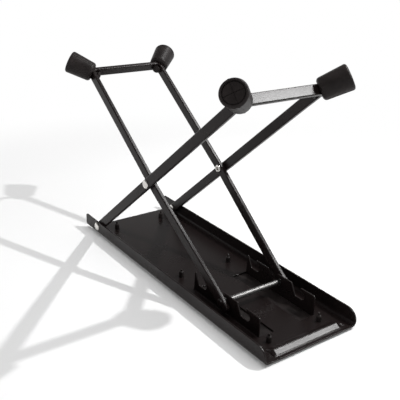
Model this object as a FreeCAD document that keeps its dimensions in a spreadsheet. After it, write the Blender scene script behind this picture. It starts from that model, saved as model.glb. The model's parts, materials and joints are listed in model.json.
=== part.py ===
import FreeCAD, Part
import os
from math import pi, sin
import Sketcher

# Folding guitar footrest, upside down: the tread lies on the floor and the feet are in the air.
# X runs along the plate towards its notched end, Y across it, Z up.
# The origin is in the middle of the plate's length and width, on the floor.

doc = FreeCAD.newDocument("GuitarFootrest")

# Driving dimensions, in millimetres and degrees.
sizes = {
    # pressed foot plate
    "plate_length": 300, "plate_width": 102, "sheet_thickness": 1.5, "flange_height": 14.6,
    "bend_radius": 3, "flange_front_round": 10, "flange_rear_round": 2.5, "tail_length": 8,
    # stiffening bead across the front of the plate
    "bead_length": 76, "bead_width": 10.5, "bead_rise": 3.2, "bead_angle": 55, "bead_inset": 8.6,
    # notched rails, lanced up out of the plate
    "rail_spacing": 60, "rail_inset": 30.6, "rail_length": 90.9, "rail_height": 19.6, "rail_lean": 0.8,
    "rail_base_round": 1.5, "rail_end_round": 2, "window_width": 15.5,
    "notch_count": 3, "notch_inset": 1.8, "notch_pitch": 30, "notch_mouth": 10.8, "notch_lead": 5.6,
    "notch_floor": 9, "hook_angle": 38, "pocket_radius": 3.8, "hook_round": 0.5, "tooth_round": 0.9,
    "floor_round": 1.2, "rod_notch": 1,
    # rubber mat and its pull-through plugs
    "mat_thickness": 2, "mat_front_margin": 16, "mat_rear_margin": 22, "mat_side_margin": 5,
    "mat_corner": 6, "groove_count": 31, "groove_width": 2, "groove_depth": 0.6, "groove_margin": 10,
    "plug_columns": 3, "plug_sides": 8, "plug_inset": 5.5, "plug_spacing": 56, "plug_diameter": 3.8,
    "plug_barb": 4.8, "plug_barb_height": 5, "plug_shoulder": 3.6, "plug_shoulder_height": 0.9,
    "plug_tail": 2, "plug_tail_height": 2.6,
    # flat strip of both frames
    "strip_width": 9.4, "strip_thickness": 4, "corner_radius": 2, "end_round": 3, "pivot_flat": 7,
    "corner_flat": 25,
    # rear frame
    "ear_inset": 25.8, "ear_height": 8.9, "rear_cross": 121.1, "rear_reach": 284.5, "rear_span": 86.5,
    "rear_tail": 5.5,
    # front frame
    "front_cross": 130, "front_reach": 144.1, "front_tail": 9.5, "lug_length": 12,
    # latch rod
    "rod_diameter": 5, "rod_gap": 0.28, "lug_gap": 1.5, "rod_head": 7.4, "rod_head_height": 1.2,
    # rivets and washers
    "rivet_diameter": 5, "rivet_head": 8.6, "rivet_head_height": 2, "rivet_edge": 1.4,
    "rivet_sides": 24, "rivet_tail": 7.6, "rivet_tail_height": 1.4, "fit_clearance": 0.05,
    "washer_diameter": 8.6, "washer_thickness": 0.5, "side_play": 0.18,
    # rubber feet
    "foot_diameter": 22.4, "foot_neck": 19, "foot_length": 26.5, "foot_seat": 1.7, "foot_edge": 1.6,
    "foot_neck_edge": 2.2, "foot_sides": 24, "stem_diameter": 5, "stem_head": 9, "stem_head_edge": 1.8,
    "stem_head_rim": 0.6, "stem_sides": 12,
}

sheet = doc.addObject("Spreadsheet::Sheet", "Dims")
for row, (alias, value) in enumerate(sizes.items(), 1):
    sheet.set(f"A{row}", alias)
    sheet.set(f"B{row}", str(value))
    sheet.setAlias(f"B{row}", alias)
doc.recompute()

# Places that follow from the driving dimensions: the rod in its notch and the triangle of the linkage.
link = doc.addObject("App::VarSet", "Link")


def derive(name, expression, kind="App::PropertyFloat"):
    link.addProperty(kind, name, "Linkage")
    link.setExpression(name, expression)
    doc.recompute()


derive("plate_top", "Dims.mat_thickness + Dims.sheet_thickness")
derive("rail_end", "Dims.plate_length / 2 - Dims.rail_inset")
derive("rail_start", "Link.rail_end - Dims.rail_length")
derive("notch_first", "Link.rail_start + Dims.notch_inset")
derive("hook_run", "(Dims.rail_height - Dims.notch_floor) / tan(Dims.hook_angle * 1deg)")
derive("apex", "Dims.notch_mouth + Link.hook_run")
derive("pocket", "Link.apex - Dims.pocket_radius / tan(Dims.hook_angle / 2 * 1deg)")
derive("rod_x", "Link.notch_first + Dims.rod_notch * Dims.notch_pitch + Link.pocket"
                " + Dims.pocket_radius - Dims.rod_diameter / 2 - Dims.rod_gap")
derive("rod_z", "Dims.mat_thickness + Dims.notch_floor + Dims.pocket_radius")
derive("ear_x", "Dims.ear_inset - Dims.plate_length / 2")
derive("ear_z", "Dims.mat_thickness + Dims.ear_height")
derive("base", "sqrt((Link.rod_x - Link.ear_x)^2 + (Link.rod_z - Link.ear_z)^2)")
derive("slope", "atan2(Link.rod_z - Link.ear_z; Link.rod_x - Link.ear_x)", "App::PropertyAngle")
derive("rear_angle", "Link.slope + acos((Dims.rear_cross^2 + Link.base^2 - Dims.front_cross^2)"
                     " / (2 * Dims.rear_cross * Link.base))", "App::PropertyAngle")
derive("front_angle", "acos((Dims.front_cross^2 + Link.base^2 - Dims.rear_cross^2)"
                      " / (2 * Dims.front_cross * Link.base)) - Link.slope", "App::PropertyAngle")
derive("cross_x", "Link.ear_x + Dims.rear_cross * cos(Link.rear_angle)")
derive("cross_z", "Link.ear_z + Dims.rear_cross * sin(Link.rear_angle)")

# Outer half-widths of the two frames, from the flanges inwards past washers and strip.
derive("layer", "Dims.washer_thickness + Dims.side_play")
derive("flange_inner", "Dims.plate_width / 2 - Dims.sheet_thickness")
derive("ear_half", "Link.flange_inner - Link.layer")
derive("rear_cross_half", "Link.ear_half - (Link.ear_half - Dims.rear_span / 2)"
                          " * Dims.rear_cross / Dims.rear_reach")
derive("front_half", "Link.rear_cross_half - Dims.strip_thickness - Link.layer")
derive("lug_half", "Dims.rail_spacing / 2 + Dims.sheet_thickness + Dims.lug_gap + Dims.strip_thickness")
derive("front_length", "Dims.front_cross + Dims.front_reach")

# The mat follows the plate, and its grooves and plugs follow the mat.
derive("mat_length", "Dims.plate_length - Dims.mat_front_margin - Dims.mat_rear_margin")
derive("mat_middle", "(Dims.mat_rear_margin - Dims.mat_front_margin) / 2")
derive("mat_half", "Dims.plate_width / 2 - Dims.mat_side_margin")
derive("groove_span", "Link.mat_length - 2 * Dims.groove_margin")
derive("plug_span", "Link.mat_length - 2 * Dims.plug_inset")
derive("plug_pitch", "Link.plug_span / (Dims.plug_columns - 1)")

# Along the bisector of a frame's corner, from the point where its outer faces would meet.
derive("bend_outer", "Dims.corner_radius + Dims.strip_thickness")
derive("bend_centre", "-Link.bend_outer * sqrt(2)")
derive("foot_start", "Link.bend_centre + Link.bend_outer - Dims.foot_seat")
derive("foot_end", "Link.foot_start + Dims.foot_length")
derive("inner_apex", "-Dims.strip_thickness * sqrt(2)")
derive("foot_angle", "atan((Dims.foot_diameter - Dims.foot_neck) / 2 / Dims.foot_length)",
       "App::PropertyAngle")

match_limit = 0.01


def number(expression):
    value = sheet.evalExpression(expression)
    return float(getattr(value, "Value", value))


def new_body(name):
    body = doc.addObject("PartDesign::Body", name)
    body.Label = name
    return body


def place_body(body, x, z, angle="0deg"):
    # Moves a body in the plane of the linkage and turns it about Y.
    body.Placement = FreeCAD.Placement(FreeCAD.Vector(), FreeCAD.Rotation(FreeCAD.Vector(0, 1, 0), 1))
    body.setExpression("Placement.Base.x", x)
    body.setExpression("Placement.Base.z", z)
    body.setExpression("Placement.Rotation.Angle", angle)
    doc.recompute()
    return body


def origin_of(body, role):
    return next(feature for feature in body.Origin.OriginFeatures if feature.Role == role)


def new_sketch(body, name, role, offset="0"):
    sketch = body.newObject("Sketcher::SketchObject", name)
    sketch.AttachmentSupport = (origin_of(body, role), [""])
    sketch.MapMode = "FlatFace"
    sketch.setExpression("AttachmentOffset.Base.z", offset)
    return sketch


def corner_sketch(body, name, reach, half, side):
    # Sketch at the corner of a frame, its first axis pointing outwards along the corner's bisector.
    sketch = new_sketch(body, name, "XY_Plane")
    turn = FreeCAD.Rotation(FreeCAD.Vector(0, 0, 1), side * 45)
    sketch.AttachmentOffset = FreeCAD.Placement(FreeCAD.Vector(), turn)
    sketch.setExpression("AttachmentOffset.Base.x", reach)
    sketch.setExpression("AttachmentOffset.Base.y", f"{side} * {half}")
    return sketch


def across_sketch(body, name, corner, station):
    # Sketch square to the bisector of a frame's corner, at a distance outwards from the corner.
    reach, half, side = corner
    sketch = new_sketch(body, name, "YZ_Plane")
    turn = FreeCAD.Rotation(FreeCAD.Vector(0, 1, 0), side * 45)
    sketch.AttachmentOffset = FreeCAD.Placement(FreeCAD.Vector(), turn)
    sketch.setExpression("AttachmentOffset.Base.x", f"{side} * ({half} + ({station}) / sqrt(2))")
    sketch.setExpression("AttachmentOffset.Base.z", f"{reach} + ({station}) / sqrt(2)")
    return sketch


def round_corners(middle, width, count, first_turn="0deg"):
    # Corners of a many-sided outline that stands for a round one.
    corners = []
    for step in range(sizes[count]):
        turn = f"{first_turn} + {step} * 360deg / Dims.{count}"
        corners.append((f"{middle[0]} + ({width}) / 2 * cos({turn})",
                        f"{middle[1]} + ({width}) / 2 * sin({turn})"))
    return corners


def pin_point(sketch, geometry, position, place):
    for kind, expression in zip(("DistanceX", "DistanceY"), place):
        constraint = Sketcher.Constraint(kind, -1, 1, geometry, position, number(expression))
        index = sketch.addConstraint(constraint)
        sketch.setExpression(f"Constraints[{index}]", expression)


def add_polygon(sketch, corners):
    points = [FreeCAD.Vector(number(x), number(y), 0) for x, y in corners]
    first = sketch.GeometryCount
    for start, end in zip(points, points[1:] + points[:1]):
        sketch.addGeometry(Part.LineSegment(start, end))
    for step, corner in enumerate(corners):
        following = first + (step + 1) % len(corners)
        sketch.addConstraint(Sketcher.Constraint("Coincident", first + step, 2, following, 1))
        pin_point(sketch, first + step, 1, corner)


def add_circle(sketch, centre, diameter):
    point = FreeCAD.Vector(number(centre[0]), number(centre[1]), 0)
    circle = sketch.addGeometry(Part.Circle(point, FreeCAD.Vector(0, 0, 1), number(diameter) / 2))
    pin_point(sketch, circle, 3, centre)
    index = sketch.addConstraint(Sketcher.Constraint("Diameter", circle, number(diameter)))
    sketch.setExpression(f"Constraints[{index}]", diameter)


def settle(body, feature):
    body.Tip = feature
    doc.recompute()
    if "Invalid" in feature.State or "Error" in feature.State:
        raise RuntimeError(f"{feature.Name} failed")
    return feature


def add_pad(body, name, sketch, length, side="One side", taper="0deg", reverse=False):
    pad = body.newObject("PartDesign::Pad", name)
    pad.Profile = sketch
    pad.SideType = side
    pad.Reversed = reverse
    pad.setExpression("Length", length)
    pad.setExpression("TaperAngle", taper)
    return settle(body, pad)


def add_pocket(body, name, sketch, length, side="Symmetric", taper="0deg"):
    # A one-sided pocket is cut along the sketch's own normal, as a pad would grow.
    before = body.Shape.Volume
    pocket = body.newObject("PartDesign::Pocket", name)
    pocket.Profile = sketch
    pocket.SideType = side
    pocket.Reversed = side == "One side"
    pocket.setExpression("Length", length)
    pocket.setExpression("TaperAngle", taper)
    settle(body, pocket)
    if before - body.Shape.Volume < match_limit:
        raise RuntimeError(f"{name} cuts nothing")
    return pocket


def add_turned(body, name, sketch, axis, kind="PartDesign::Revolution"):
    turned = body.newObject(kind, name)
    turned.Profile = sketch
    turned.ReferenceAxis = (sketch, [axis])
    turned.Angle = 360
    return settle(body, turned)


def add_sided(body, name, corner, count, width, start, end):
    # Many-sided length along the bisector of a frame's corner, between two distances from the corner.
    outline = across_sketch(body, f"{name}_outline", corner, start)
    add_polygon(outline, round_corners(("0", "0"), width, count))
    return add_pad(body, name, outline, f"{end} - ({start})")


def break_edges(body, name, kind, size, chosen):
    # kind is the feature and the property that holds its size.
    base = body.Tip
    names = [f"Edge{index}" for index, edge in enumerate(base.Shape.Edges, 1) if chosen(edge)]
    if not names:
        raise RuntimeError(f"{name} finds no edge")
    feature = body.newObject(f"PartDesign::{kind[0]}", name)
    feature.Base = (base, names)
    feature.setExpression(kind[1], size)
    return settle(body, feature)


def add_fillet(body, name, radius, chosen):
    return break_edges(body, name, ("Fillet", "Radius"), radius, chosen)


def add_chamfer(body, name, size, chosen):
    return break_edges(body, name, ("Chamfer", "Size"), size, chosen)


def add_draft(body, name, angle, axis):
    # Leans the faces along the axis inwards, from the end face that the axis points out of.
    base = body.Tip
    slants = [face.normalAt(0, 0).dot(axis) for face in base.Shape.Faces]
    sides = [f"Face{index}" for index, slant in enumerate(slants, 1) if abs(slant) < match_limit]
    draft = body.newObject("PartDesign::Draft", name)
    draft.Base = (base, sides)
    draft.NeutralPlane = (base, [f"Face{slants.index(max(slants)) + 1}"])
    draft.Reversed = True
    draft.Placement = base.Placement
    draft.setExpression("Angle", angle)
    return settle(body, draft)


def edges_along(axis, places):
    # Straight edges along one axis, through the given places in the plane of the other two.
    others = [name for name in "xyz" if name != axis]
    wanted = [[number(part) for part in place] for place in places]

    def chosen(edge):
        ends = [[getattr(vertex.Point, name) for name in others] for vertex in edge.Vertexes]
        return len(ends) == 2 and any(
            all(abs(end[i] - place[i]) < match_limit for end in ends for i in (0, 1)) for place in wanted)

    return chosen


def edges_across(axis, distance):
    # Edges in a plane square to the axis, at a distance along it from the body's origin.
    wanted = number(distance)

    def chosen(edge):
        return all(abs(vertex.Point.dot(axis) - wanted) < match_limit for vertex in edge.Vertexes)

    return chosen


def mirrored_pair(places):
    return places + [(x, f"-({y})") for x, y in places]


def notch_corners(step):
    # Sloping lead-in, floor, and the undercut that makes the next tooth a hook.
    start = f"Link.notch_first + {step} * Dims.notch_pitch"
    crown = "Dims.mat_thickness + Dims.rail_height"
    floor = "Dims.mat_thickness + Dims.notch_floor"
    return [(start, crown), (f"{start} + Dims.notch_lead", floor), (f"{start} + Link.apex", floor),
            (f"{start} + Dims.notch_mouth", crown)]


def make_foot_plate():
    body = new_body("foot_plate")
    under = "Dims.mat_thickness"
    top = "Link.plate_top"
    rim = "Dims.mat_thickness + Dims.flange_height"
    outer = "Dims.plate_width / 2"
    inner = "Link.flange_inner"
    front = "Dims.plate_length / 2"
    rear = "-Dims.plate_length / 2"

    # Channel section, run along the plate, bent at its two long edges and rounded at the flanges' ends.
    section = new_sketch(body, "channel_section", "YZ_Plane")
    add_polygon(section, [(f"-{outer}", under), (outer, under), (outer, rim), (inner, rim),
                          (inner, top), (f"-{inner}", top), (f"-{inner}", rim), (f"-{outer}", rim)])
    add_pad(body, "channel", section, "Dims.plate_length", "Symmetric")
    add_fillet(body, "bend_inside", "Dims.bend_radius",
               edges_along("x", [(inner, top), (f"-{inner}", top)]))
    add_fillet(body, "bend_outside", "Dims.bend_radius + Dims.sheet_thickness",
               edges_along("x", [(outer, under), (f"-{outer}", under)]))
    add_fillet(body, "front_corners", "Dims.flange_front_round", edges_along("y", [(front, rim)]))
    add_fillet(body, "rear_corners", "Dims.flange_rear_round", edges_along("y", [(rear, rim)]))

    # The flat of the plate stops short of the flanges' tails.
    flat = "Link.flange_inner - Dims.bend_radius"
    tail = new_sketch(body, "tail_outline", "XY_Plane", under)
    add_polygon(tail, [(f"{rear} - Dims.tail_length", f"-({flat})"),
                       (f"{rear} + Dims.tail_length", f"-({flat})"),
                       (f"{rear} + Dims.tail_length", flat), (f"{rear} - Dims.tail_length", flat)])
    add_pocket(body, "tail", tail, "Dims.flange_height")

    # Window that the lanced rail leaves, and the rail standing at its outer side.
    rail_inner = "Dims.rail_spacing / 2"
    window = new_sketch(body, "window_outline", "XY_Plane", under)
    add_polygon(window, [("Link.rail_start", f"Dims.window_width - {rail_inner}"),
                         ("Link.rail_start", f"-{rail_inner}"), ("Link.rail_end", f"-{rail_inner}"),
                         ("Link.rail_end", f"Dims.window_width - {rail_inner}")])
    window_cut = add_pocket(body, "window", window, "Dims.flange_height")
    notches = [notch_corners(step) for step in range(sizes["notch_count"])]
    crown = "Dims.mat_thickness + Dims.rail_height"
    rail = new_sketch(body, "rail_outline", "XZ_Plane", rail_inner)
    add_polygon(rail, [("Link.rail_start", under), ("Link.rail_start + Dims.rail_lean", crown)]
                + [corner for notch in notches for corner in notch]
                + [("Link.rail_end", crown), ("Link.rail_end", under)])
    rail_pad = add_pad(body, "rail", rail, "Dims.sheet_thickness")
    pair = body.newObject("PartDesign::Mirrored", "rail_and_window_pair")
    pair.Originals = [window_cut, rail_pad]
    pair.MirrorPlane = (origin_of(body, "XZ_Plane"), [""])
    settle(body, pair)

    # Rounded notches: a deep pocket for the rod, blunt hooks and teeth.
    add_fillet(body, "pockets", "Dims.pocket_radius", edges_along("y", [notch[2] for notch in notches]))
    add_fillet(body, "notch_roots", "Dims.floor_round", edges_along("y", [notch[1] for notch in notches]))
    add_fillet(body, "hooks", "Dims.hook_round", edges_along("y", [notch[3] for notch in notches]))
    add_fillet(body, "teeth", "Dims.tooth_round", edges_along("y", [notch[0] for notch in notches[1:]]))
    add_fillet(body, "rail_ends", "Dims.rail_end_round", edges_along("y", [("Link.rail_end", crown)]))
    rail_outer = "Dims.rail_spacing / 2 + Dims.sheet_thickness"
    add_fillet(body, "rail_bases", "Dims.rail_base_round",
               edges_along("x", [(rail_outer, top), (f"-({rail_outer})", top)]))

    # Bead pressed up across the front, hollow below.
    middle = "Dims.plate_length / 2 - Dims.bead_inset"
    half_width = "Dims.bead_width / 2"
    half_length = "Dims.bead_length / 2"
    for name, level, add in (("bead", top, add_pad), ("bead_hollow", under, add_pocket)):
        outline = new_sketch(body, f"{name}_outline", "XY_Plane", level)
        add_polygon(outline, [(f"{middle} - {half_width}", f"-{half_length}"),
                              (f"{middle} + {half_width}", f"-{half_length}"),
                              (f"{middle} + {half_width}", half_length),
                              (f"{middle} - {half_width}", half_length)])
        add(body, name, outline, "Dims.bead_rise", "One side", "-Dims.bead_angle * 1deg")

    # Ear holes through both flanges, and the holes for the mat's plugs.
    ears = new_sketch(body, "ear_circle", "XZ_Plane")
    add_circle(ears, ("Link.ear_x", "Link.ear_z"), "Dims.rivet_diameter")
    add_pocket(body, "ear_holes", ears, "2 * Dims.plate_width")
    plugs = new_sketch(body, "plug_circles", "XY_Plane", under)
    for column in range(sizes["plug_columns"]):
        place = f"Link.mat_middle - Link.plug_span / 2 + {column} * Link.plug_pitch"
        for side in (-1, 1):
            add_circle(plugs, (place, f"{side} * Dims.plug_spacing / 2"), "Dims.plug_diameter")
    add_pocket(body, "plug_holes", plugs, "Dims.flange_height")


def add_plug_length(body, name, width, level, height):
    # Many-sided length of the first plug, standing on the given level.
    outline = new_sketch(body, f"plug_{name}_outline", "XY_Plane", level)
    middle = ("Link.mat_middle - Link.plug_span / 2", "Dims.plug_spacing / 2")
    add_polygon(outline, round_corners(middle, width, "plug_sides", "180deg / Dims.plug_sides"))
    return add_pad(body, f"plug_{name}", outline, height)


def make_tread_mat():
    body = new_body("tread_mat")
    left = "Link.mat_middle - Link.mat_length / 2"
    right = "Link.mat_middle + Link.mat_length / 2"
    half = "Link.mat_half"
    corners = [(left, f"-{half}"), (right, f"-{half}"), (right, half), (left, half)]
    outline = new_sketch(body, "mat_outline", "XY_Plane")
    add_polygon(outline, corners)
    add_pad(body, "mat", outline, "Dims.mat_thickness")
    add_fillet(body, "mat_corners", "Dims.mat_corner", edges_along("z", corners))

    # Grooves across the tread, evenly spaced about the middle of the mat.
    before = "Link.mat_middle - Link.groove_span / 2 - Dims.groove_width / 2"
    after = "Link.mat_middle - Link.groove_span / 2 + Dims.groove_width / 2"
    section = new_sketch(body, "groove_section", "XZ_Plane")
    add_polygon(section, [(before, "-Dims.groove_depth"), (after, "-Dims.groove_depth"),
                          (after, "Dims.groove_depth"), (before, "Dims.groove_depth")])
    groove = add_pocket(body, "groove", section, "2 * Link.mat_half - 2 * Dims.groove_margin")
    grooves = body.newObject("PartDesign::LinearPattern", "grooves")
    grooves.Originals = [groove]
    grooves.Direction = (origin_of(body, "X_Axis"), [""])
    grooves.setExpression("Length", "Link.groove_span")
    grooves.setExpression("Occurrences", "Dims.groove_count")
    settle(body, grooves)

    # One plug: neck in the plate's hole, barb above the plate, and the thin tail that it was pulled by.
    root = "Dims.mat_thickness / 2"
    plug = [add_plug_length(body, "neck", "Dims.plug_diameter", root, f"Link.plate_top - {root}")]
    level = "Link.plate_top"
    for part in ("barb", "shoulder", "tail"):
        plug.append(add_plug_length(body, part, f"Dims.plug_{part}", level, f"Dims.plug_{part}_height"))
        level = f"{level} + Dims.plug_{part}_height"
    plugs = body.newObject("PartDesign::MultiTransform", "plugs")
    plugs.Originals = plug
    columns = body.newObject("PartDesign::LinearPattern", "plug_columns")
    columns.Direction = (origin_of(body, "X_Axis"), [""])
    columns.setExpression("Length", "Link.plug_span")
    columns.setExpression("Occurrences", "Dims.plug_columns")
    sides = body.newObject("PartDesign::Mirrored", "plug_sides")
    sides.MirrorPlane = (origin_of(body, "XZ_Plane"), [""])
    plugs.Transformations = [columns, sides]
    settle(body, plugs)


def make_frame(name, edge, holes):
    # A U of flat strip lying along its own X, with its crossbar at the far end.
    # edge is the outer line of one leg, from its free end to the crossbar.
    body = new_body(name)
    reach, half = edge[-1]
    inner_edge = [(x, f"{y} - Dims.strip_thickness") for x, y in edge]
    inner_edge[-1] = (f"{reach} - Dims.strip_thickness", inner_edge[-1][1])
    outer_side = [(x, f"-({y})") for x, y in reversed(edge)]
    inner_side = [(x, f"-({y})") for x, y in inner_edge]
    outline = new_sketch(body, "strip_outline", "XY_Plane")
    add_polygon(outline, edge + outer_side + inner_side + list(reversed(inner_edge)))
    add_pad(body, "strip", outline, "Dims.strip_width", "Symmetric")

    # Bent corners and rounded free ends.
    add_fillet(body, "corners_outside", "Link.bend_outer", edges_along("z", mirrored_pair([edge[-1]])))
    add_fillet(body, "corners_inside", "Dims.corner_radius",
               edges_along("z", mirrored_pair([inner_edge[-1]])))
    start = edge[0][0]
    add_fillet(body, "ends", "Dims.end_round",
               edges_along("y", [(start, "Dims.strip_width / 2"), (start, "-Dims.strip_width / 2")]))

    # Pivot holes through both legs, and a hole through each corner for the stem of a foot.
    pivots = new_sketch(body, "pivot_circles", "XZ_Plane")
    for place, diameter in holes:
        add_circle(pivots, (place, "0"), diameter)
    add_pocket(body, "pivot_holes", pivots, "2 * Dims.plate_width")
    for side, word in ((1, "left"), (-1, "right")):
        stem = corner_sketch(body, f"stem_section_{word}", reach, half, side)
        add_polygon(stem, [("Link.bend_centre", "0"), ("0", "0"), ("0", "Dims.stem_diameter / 2"),
                           ("Link.bend_centre", "Dims.stem_diameter / 2")])
        add_turned(body, f"stem_hole_{word}", stem, "H_Axis", "PartDesign::Groove")
    return body


def make_foot(name, reach, half, side):
    # Tapered rubber foot with a saddle for the bent strip and a stem that holds it there.
    body = new_body(name)
    corner = (reach, half, side)
    axis = FreeCAD.Vector(1, side, 0).normalize()
    tip = f"({reach} + {half}) / sqrt(2)"
    add_sided(body, "foot", corner, "foot_sides", "Dims.foot_diameter", "Link.foot_start", "Link.foot_end")
    add_draft(body, "foot_taper", "Link.foot_angle", axis)
    add_chamfer(body, "foot_rim", "Dims.foot_edge", edges_across(axis, f"{tip} + Link.foot_end"))
    add_chamfer(body, "foot_shoulder", "Dims.foot_neck_edge",
                edges_across(axis, f"{tip} + Link.foot_start"))
    saddle = corner_sketch(body, "saddle_circle", *corner)
    add_circle(saddle, ("Link.bend_centre", "0"), "2 * Link.bend_outer")
    add_pocket(body, "saddle", saddle, "Dims.strip_width")

    # Stem through the corner, with a conical head against the strip's inner faces.
    widest = "Link.inner_apex - Dims.stem_head / 2"
    head_end = f"{widest} + Dims.stem_head_edge"
    head_start = f"{widest} - Dims.stem_head_rim - Dims.stem_head_edge"
    add_sided(body, "stem", corner, "stem_sides", "Dims.stem_diameter", widest, "0")
    add_sided(body, "stem_head", corner, "stem_sides", "Dims.stem_head", head_start, head_end)
    add_chamfer(body, "stem_tip", "Dims.stem_head_edge", edges_across(axis, f"{tip} + {head_start}"))
    rim = edges_across(axis, f"{tip} + {head_end}")
    head_side = number("Dims.stem_head") * sin(pi / sizes["stem_sides"])
    add_chamfer(body, "stem_seat", "Dims.stem_head_edge",
                lambda edge: rim(edge) and edge.Length > head_side - match_limit)
    return body


def make_turned_piece(name, profile):
    # Piece turned about Y, from (radius, y) corners.
    body = new_body(name)
    section = new_sketch(body, "turned_section", "XY_Plane")
    add_polygon(section, profile)
    add_turned(body, "turned", section, "V_Axis")
    return body


def make_rivet(name, side, head_face, tail_face):
    # head_face and tail_face are the distances from the middle at which the two heads bear.
    body = new_body(name)
    middle = ("0", "0")
    left = side > 0
    shank = new_sketch(body, "shank_circle", "XZ_Plane", f"-{side} * ({head_face})")
    add_circle(shank, middle, "Dims.rivet_diameter")
    add_pad(body, "shank", shank, f"{head_face} - ({tail_face})", reverse=not left)
    head = new_sketch(body, "head_outline", "XZ_Plane", f"-{side} * ({head_face})")
    add_polygon(head, round_corners(middle, "Dims.rivet_head", "rivet_sides"))
    add_pad(body, "head", head, "Dims.rivet_head_height", reverse=left)
    add_chamfer(body, "head_edge", "Dims.rivet_edge",
                edges_across(FreeCAD.Vector(0, side, 0), f"{head_face} + Dims.rivet_head_height"))
    tail = new_sketch(body, "tail_outline", "XZ_Plane", f"-{side} * ({tail_face})")
    add_polygon(tail, round_corners(middle, "Dims.rivet_tail", "rivet_sides"))
    add_pad(body, "tail", tail, "Dims.rivet_tail_height", reverse=not left)
    return body


def make_washer(name, side, outer_face, bore):
    inner_face = f"{side} * ({outer_face} - Dims.washer_thickness)"
    outer_face = f"{side} * ({outer_face})"
    return make_turned_piece(name, [
        (f"({bore}) / 2", inner_face), ("Dims.washer_diameter / 2", inner_face),
        ("Dims.washer_diameter / 2", outer_face), (f"({bore}) / 2", outer_face)])


make_foot_plate()
make_tread_mat()

# The two frames, the wider one on the plate's ears and the narrower one inside it.
loose_hole = "Dims.rivet_diameter + 2 * Dims.fit_clearance"
rear_edge = [("-Dims.rear_tail", "Link.ear_half"), ("Dims.pivot_flat", "Link.ear_half"),
             ("Dims.rear_cross - Dims.pivot_flat", "Link.rear_cross_half"),
             ("Dims.rear_cross + Dims.pivot_flat", "Link.rear_cross_half"),
             ("Dims.rear_reach - Dims.corner_flat", "Dims.rear_span / 2"),
             ("Dims.rear_reach", "Dims.rear_span / 2")]
front_edge = [("-Dims.front_tail", "Link.lug_half"), ("Dims.lug_length", "Link.lug_half"),
              ("Dims.front_cross - Dims.pivot_flat", "Link.front_half"),
              ("Link.front_length", "Link.front_half")]
at_ear = ("Link.ear_x", "Link.ear_z")
at_cross = ("Link.cross_x", "Link.cross_z")
at_rod = ("Link.rod_x", "Link.rod_z")
rear_turn = "-Link.rear_angle"
front_turn = "Link.front_angle - 180deg"
rear_holes = [("0", loose_hole), ("Dims.rear_cross", "Dims.rivet_diameter")]
rear_frame = make_frame("rear_frame", rear_edge, rear_holes)
place_body(rear_frame, *at_ear, rear_turn)
front_holes = [("0", "Dims.rod_diameter"), ("Dims.front_cross", loose_hole)]
front_frame = make_frame("front_frame", front_edge, front_holes)
place_body(front_frame, *at_rod, front_turn)

# Rod through the lower ends of the front frame, peened over outside them.
lug = "Link.lug_half"
rod_end = "Link.lug_half + Dims.rod_head_height"
latch_rod = make_turned_piece("latch_rod", [
    ("0", f"-({rod_end})"), ("Dims.rod_head / 2", f"-({rod_end})"), ("Dims.rod_head / 2", f"-{lug}"),
    ("Dims.rod_diameter / 2", f"-{lug}"), ("Dims.rod_diameter / 2", lug), ("Dims.rod_head / 2", lug),
    ("Dims.rod_head / 2", rod_end), ("0", rod_end)])
place_body(latch_rod, *at_rod)

# Feet, rivets and washers, one of each at either side.
ear_tail = "Link.ear_half - Dims.strip_thickness - Dims.side_play"
cross_tail = "Link.front_half - Dims.strip_thickness - Dims.side_play"
for side, word in ((1, "left"), (-1, "right")):
    rear_foot = make_foot(f"rear_foot_{word}", *rear_edge[-1], side)
    place_body(rear_foot, *at_ear, rear_turn)
    front_foot = make_foot(f"front_foot_{word}", *front_edge[-1], side)
    place_body(front_foot, *at_rod, front_turn)
    ear_rivet = make_rivet(f"ear_rivet_{word}", side, "Dims.plate_width / 2", ear_tail)
    place_body(ear_rivet, *at_ear)
    ear_washer = make_washer(f"ear_washer_{word}", side, "Link.flange_inner", "Dims.rivet_diameter")
    place_body(ear_washer, *at_ear)
    cross_rivet = make_rivet(f"cross_rivet_{word}", side, "Link.rear_cross_half", cross_tail)
    place_body(cross_rivet, *at_cross)
    washer_face = "Link.front_half + Dims.washer_thickness"
    cross_washer = make_washer(f"cross_washer_{word}", side, washer_face, loose_hole)
    place_body(cross_washer, *at_cross)

# Nothing is written unless every feature and every body is sound.
for item in doc.Objects:
    if "Invalid" in item.State or "Error" in item.State:
        raise RuntimeError(f"{item.Name} failed")
bodies = doc.findObjects("PartDesign::Body")
for body in bodies:
    if body.Shape.isNull() or not body.Shape.isValid() or len(body.Shape.Solids) != 1:
        raise RuntimeError(f"{body.Label} is not one sound solid")
os.makedirs("parts", exist_ok=True)
for body in bodies:
    body.Shape.exportStep(f"parts/{body.Label}.step")
print(f"rod at {link.rod_x:.3f} {link.rod_z:.3f}, crossing at {link.cross_x:.3f} {link.cross_z:.3f}")
print(f"rear frame {link.rear_angle}, front frame {link.front_angle}, {len(bodies)} pieces")
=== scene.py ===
import json
import math
import bmesh
import bpy
from mathutils import Matrix, Vector


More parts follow.
